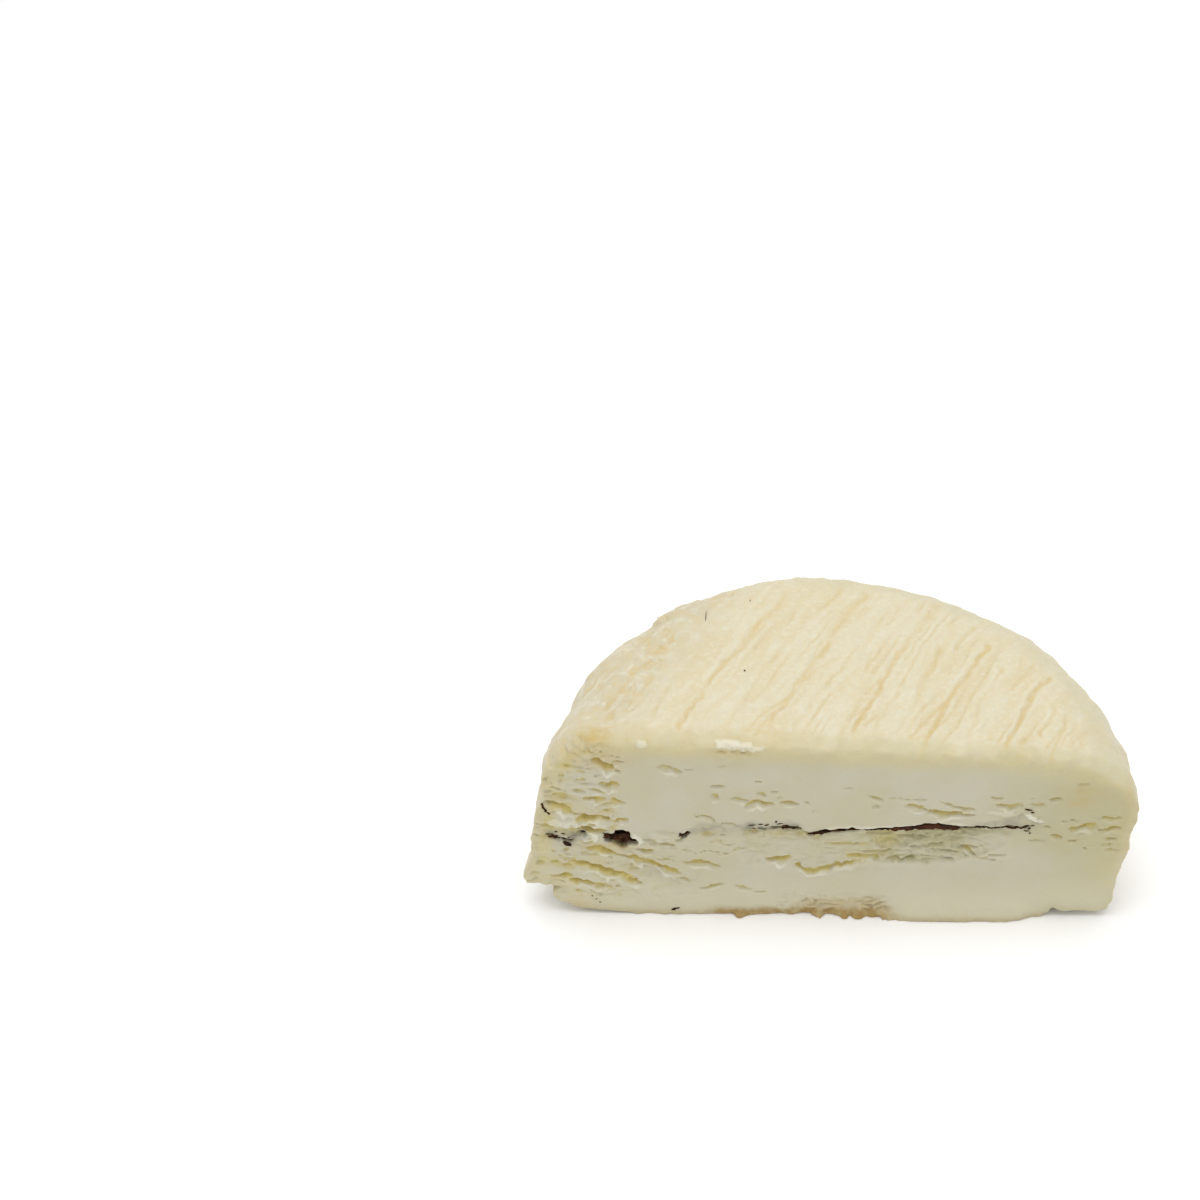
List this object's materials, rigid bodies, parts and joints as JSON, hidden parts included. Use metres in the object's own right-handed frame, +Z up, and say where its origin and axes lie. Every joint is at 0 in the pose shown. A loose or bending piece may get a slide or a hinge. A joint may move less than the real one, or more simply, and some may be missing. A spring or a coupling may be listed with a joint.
{
  "type": "half round goat cheese with leaf layer",
  "caption": "Half of a small round soft goat cheese, resting on its flat underside, its crumbly cut face showing a thin dark layer of dried leaf and a grooved pale rind.",
  "frame": {"origin": "middle of the half cheese's flat underside, below the middle of its bounding box", "axes": "+Z up; the cut face looks along -Y; +X runs along the cut, to the right as seen from the cut side"},
  "size_m": [0.0765, 0.0404, 0.029],
  "materials": {
    "cheese": "soft white cheese paste with a thin pale straw rind, matte to faintly moist",
    "leaf": "dried dark brown leaf, matte"
  },
  "bodies": {
    "root": {"cheese": "cheese", "leaf_right": "leaf", "leaf_left": "leaf"}
  },
  "joints": []
}
